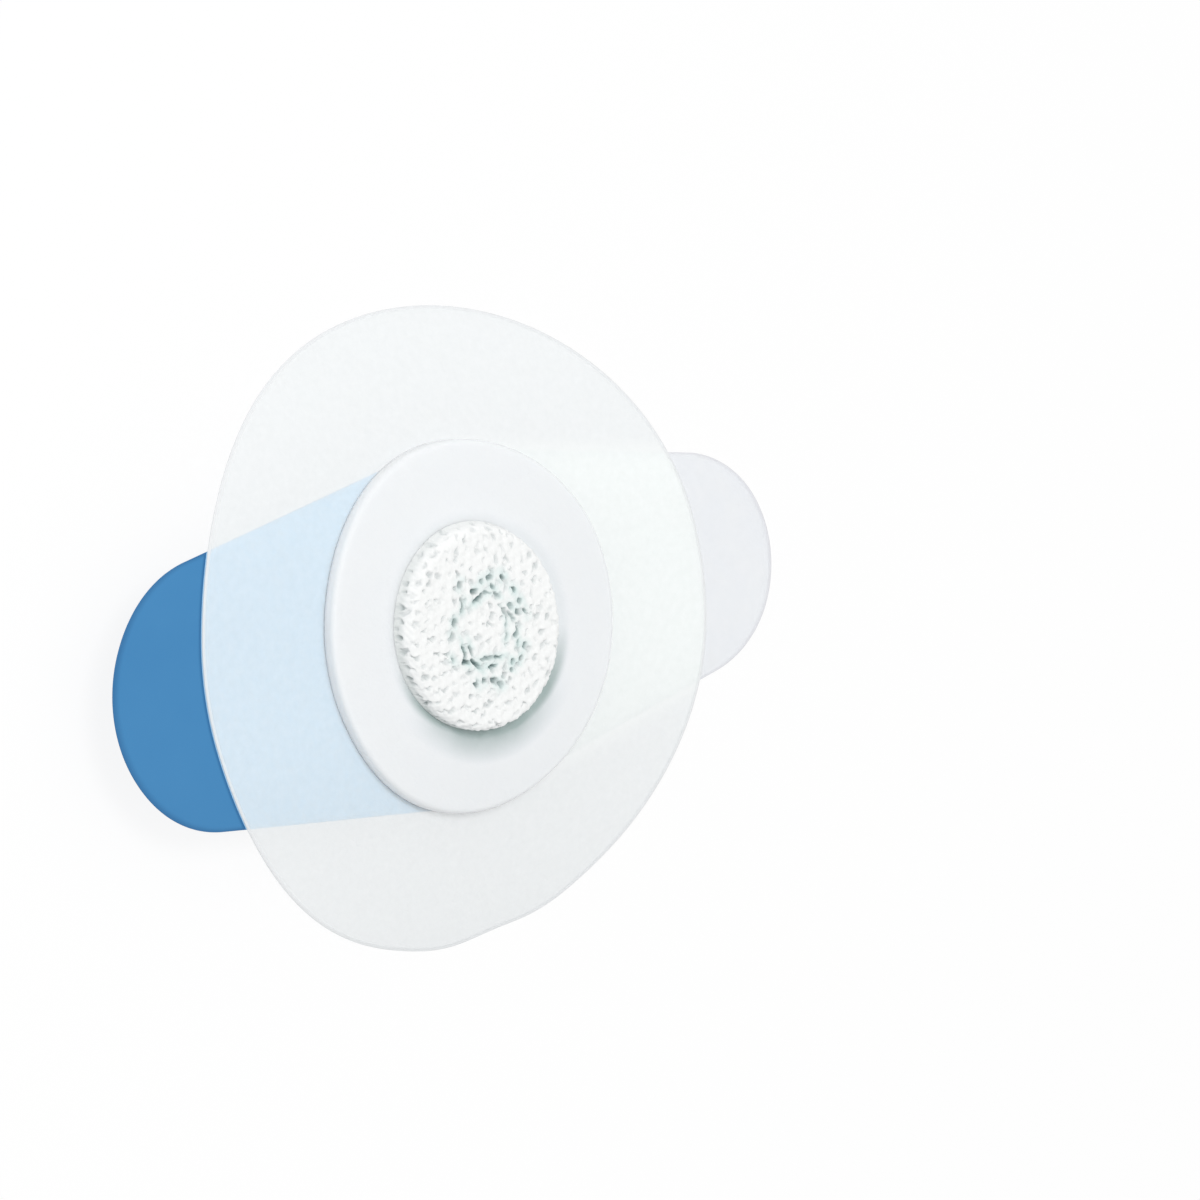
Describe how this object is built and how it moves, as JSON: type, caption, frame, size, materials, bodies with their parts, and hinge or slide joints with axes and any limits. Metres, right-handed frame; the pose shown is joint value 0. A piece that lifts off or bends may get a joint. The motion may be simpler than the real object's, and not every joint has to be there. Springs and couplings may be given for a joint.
{
  "type": "ecg electrode",
  "caption": "Disposable round monitoring electrode with tab labels, foam ring, gel sponge and a snap stud, lying skin side up.",
  "frame": {"origin": "on the axis of the snap stud, at the middle of the band of its head that a lead snaps over", "axes": "+Z away from the back towards the skin, -X towards the blue tab, the film's edges curl down along Y"},
  "size_m": [0.0794, 0.0584, 0.0084],
  "materials": {
    "film": "satin",
    "blue_label": "satin",
    "clear_label": "satin",
    "foam": "matte",
    "sponge": "matte",
    "sensor": "matte",
    "stud_steel": "satin"
  },
  "bodies": {
    "root": {"backing_film": "film", "blue_tab_label": "blue_label", "clear_tab_label": "clear_label", "foam_ring": "foam", "gel_sponge": "sponge", "sensor_eyelet": "sensor", "snap_stud": "stud_steel"}
  },
  "joints": []
}
